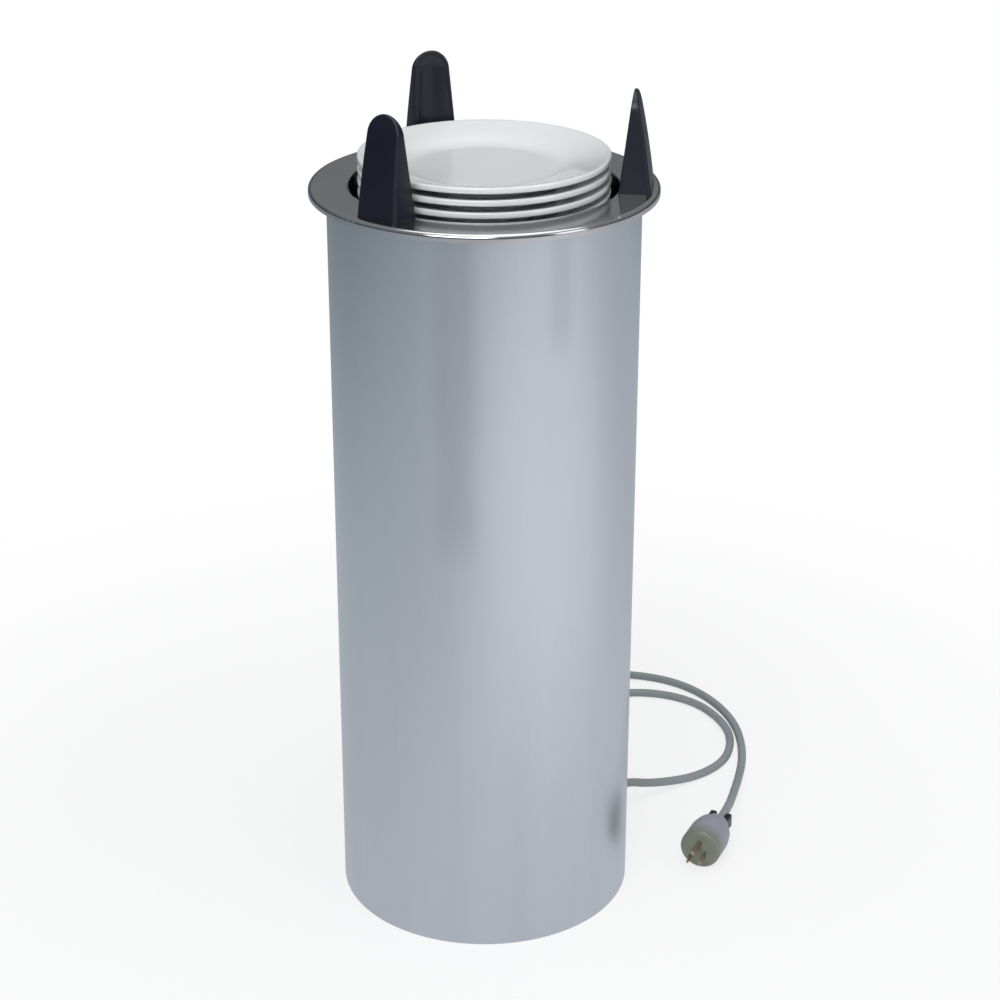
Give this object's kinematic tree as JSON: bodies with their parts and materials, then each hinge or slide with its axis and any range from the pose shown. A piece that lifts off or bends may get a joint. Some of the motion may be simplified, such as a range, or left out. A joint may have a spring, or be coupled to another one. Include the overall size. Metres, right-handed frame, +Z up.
{
  "type": "drop-in heated plate dispenser",
  "caption": "Round drop-in plate dispenser with a flanged steel tube, upright guides, a sprung plate carrier on rollers, a ring heater in its base and a mains cord.",
  "frame": {"origin": "centre of the foot, on the plane that the body stands on", "axes": "+Z up along the body's axis, +Y to the rear, +X to the side where the cord and plug lie"},
  "size_m": [0.454, 0.5861, 0.812],
  "materials": {
    "shell_steel": "vertically brushed stainless sheet",
    "flange_steel": "polished spun stainless",
    "guide_nylon": "glossy blue-black nylon",
    "zinc_steel": "zinc-plated sheet",
    "screw_steel": "plain stainless",
    "heater_sheath": "heat-darkened sheath",
    "black_rubber": "plain rubber",
    "white_china": "glossy white glaze",
    "roller_nylon": "natural nylon",
    "spring_wire": "bright spring wire",
    "phenolic": "brown-black phenolic",
    "terminal_brass": "plain brass",
    "line_jacket": "black wire jacket",
    "neutral_jacket": "white wire jacket",
    "earth_jacket": "green wire jacket",
    "cord_jacket": "grey cord jacket",
    "plug_shell": "grey moulded plug",
    "plug_jaws": "blue-black moulded jaws"
  },
  "bodies": {
    "dispenser": {"outer_shell": "shell_steel", "top_flange": "flange_steel", "guide_right": "guide_nylon", "guide_rear": "guide_nylon", "guide_front": "guide_nylon", "guide_screws": "screw_steel", "bottom_pan": "zinc_steel", "tray_posts": "zinc_steel", "post_screws": "screw_steel", "heater_tray": "zinc_steel", "heater_element": "heater_sheath", "heater_clips": "zinc_steel", "thermostat": "phenolic", "high_limit": "phenolic", "terminal_block": "phenolic", "terminal_screws": "terminal_brass", "earth_stud": "terminal_brass", "line_leads": "line_jacket", "neutral_leads": "neutral_jacket", "earth_lead": "earth_jacket", "rail_stops": "black_rubber", "lower_bumpers": "black_rubber", "strain_relief": "black_rubber", "cord_tail": "cord_jacket", "mains_cord": "cord_jacket", "plug_housing": "plug_shell", "plug_clamp": "plug_jaws", "clamp_screws": "screw_steel", "plug_blades": "terminal_brass", "earth_pin": "terminal_brass", "guide_rail_1": "zinc_steel", "spring_hanger_1": "zinc_steel", "guide_rail_2": "zinc_steel", "spring_hanger_2": "zinc_steel", "guide_rail_3": "zinc_steel", "spring_hanger_3": "zinc_steel", "spring_1": "spring_wire", "spring_2": "spring_wire", "spring_3": "spring_wire", "spring_4": "spring_wire", "spring_5": "spring_wire", "spring_6": "spring_wire"},
    "carrier": {"carrier_platform": "zinc_steel", "carrier_leg_1": "zinc_steel", "carrier_leg_2": "zinc_steel", "carrier_leg_3": "zinc_steel", "carrier_ring": "zinc_steel", "carrier_bolts": "screw_steel", "roller_pins": "screw_steel"},
    "roller_1": {"roller_1": "roller_nylon"},
    "roller_2": {"roller_2": "roller_nylon"},
    "roller_3": {"roller_3": "roller_nylon"},
    "roller_4": {"roller_4": "roller_nylon"},
    "roller_5": {"roller_5": "roller_nylon"},
    "roller_6": {"roller_6": "roller_nylon"},
    "plate_1": {"plate_1": "white_china"},
    "plate_2": {"plate_2": "white_china"},
    "plate_3": {"plate_3": "white_china"},
    "plate_4": {"plate_4": "white_china"},
    "plate_5": {"plate_5": "white_china"}
  },
  "joints": [
    {"name": "carrier_lift", "type": "slide", "parent": "dispenser", "child": "carrier", "axis": [0, 0, 1], "range_m": [-0.436, 0.025], "stiffness_N_per_m": 480.3, "springref_m": 0.07567, "deforming": ["spring_1", "spring_2", "spring_3", "spring_4", "spring_5", "spring_6"]},
    {"name": "roller_1_roll", "type": "hinge", "parent": "carrier", "child": "roller_1", "pos_m": [0.1294, -0.02003, 0.6562], "axis": [0.153, 0.9882, 0], "continuous": true},
    {"name": "roller_2_roll", "type": "hinge", "parent": "carrier", "child": "roller_2", "pos_m": [0.1294, -0.02003, 0.5462], "axis": [0.153, 0.9882, 0], "continuous": true},
    {"name": "roller_3_roll", "type": "hinge", "parent": "carrier", "child": "roller_3", "pos_m": [-0.04735, 0.12208, 0.6562], "axis": [-0.9323, -0.3616, 0], "continuous": true},
    {"name": "roller_4_roll", "type": "hinge", "parent": "carrier", "child": "roller_4", "pos_m": [-0.04735, 0.12208, 0.5462], "axis": [-0.9323, -0.3616, 0], "continuous": true},
    {"name": "roller_5_roll", "type": "hinge", "parent": "carrier", "child": "roller_5", "pos_m": [-0.08205, -0.10205, 0.6562], "axis": [0.7793, -0.6266, 0], "continuous": true},
    {"name": "roller_6_roll", "type": "hinge", "parent": "carrier", "child": "roller_6", "pos_m": [-0.08205, -0.10205, 0.5462], "axis": [0.7793, -0.6266, 0], "continuous": true},
    {"name": "plate_1_lift", "type": "slide", "parent": "carrier", "child": "plate_1", "axis": [0, 0, 1], "range_m": [0, 0.2]},
    {"name": "plate_2_lift", "type": "slide", "parent": "plate_1", "child": "plate_2", "axis": [0, 0, 1], "range_m": [0, 0.2]},
    {"name": "plate_3_lift", "type": "slide", "parent": "plate_2", "child": "plate_3", "axis": [0, 0, 1], "range_m": [0, 0.2]},
    {"name": "plate_4_lift", "type": "slide", "parent": "plate_3", "child": "plate_4", "axis": [0, 0, 1], "range_m": [0, 0.2]},
    {"name": "plate_5_lift", "type": "slide", "parent": "plate_4", "child": "plate_5", "axis": [0, 0, 1], "range_m": [0, 0.2]}
  ],
  "couplings": [
    {"joint": "roller_1_roll", "follows": "carrier_lift", "rad_per_m": 117.65},
    {"joint": "roller_2_roll", "follows": "carrier_lift", "rad_per_m": 117.65},
    {"joint": "roller_3_roll", "follows": "carrier_lift", "rad_per_m": 117.65},
    {"joint": "roller_4_roll", "follows": "carrier_lift", "rad_per_m": 117.65},
    {"joint": "roller_5_roll", "follows": "carrier_lift", "rad_per_m": 117.65},
    {"joint": "roller_6_roll", "follows": "carrier_lift", "rad_per_m": 117.65}
  ]
}
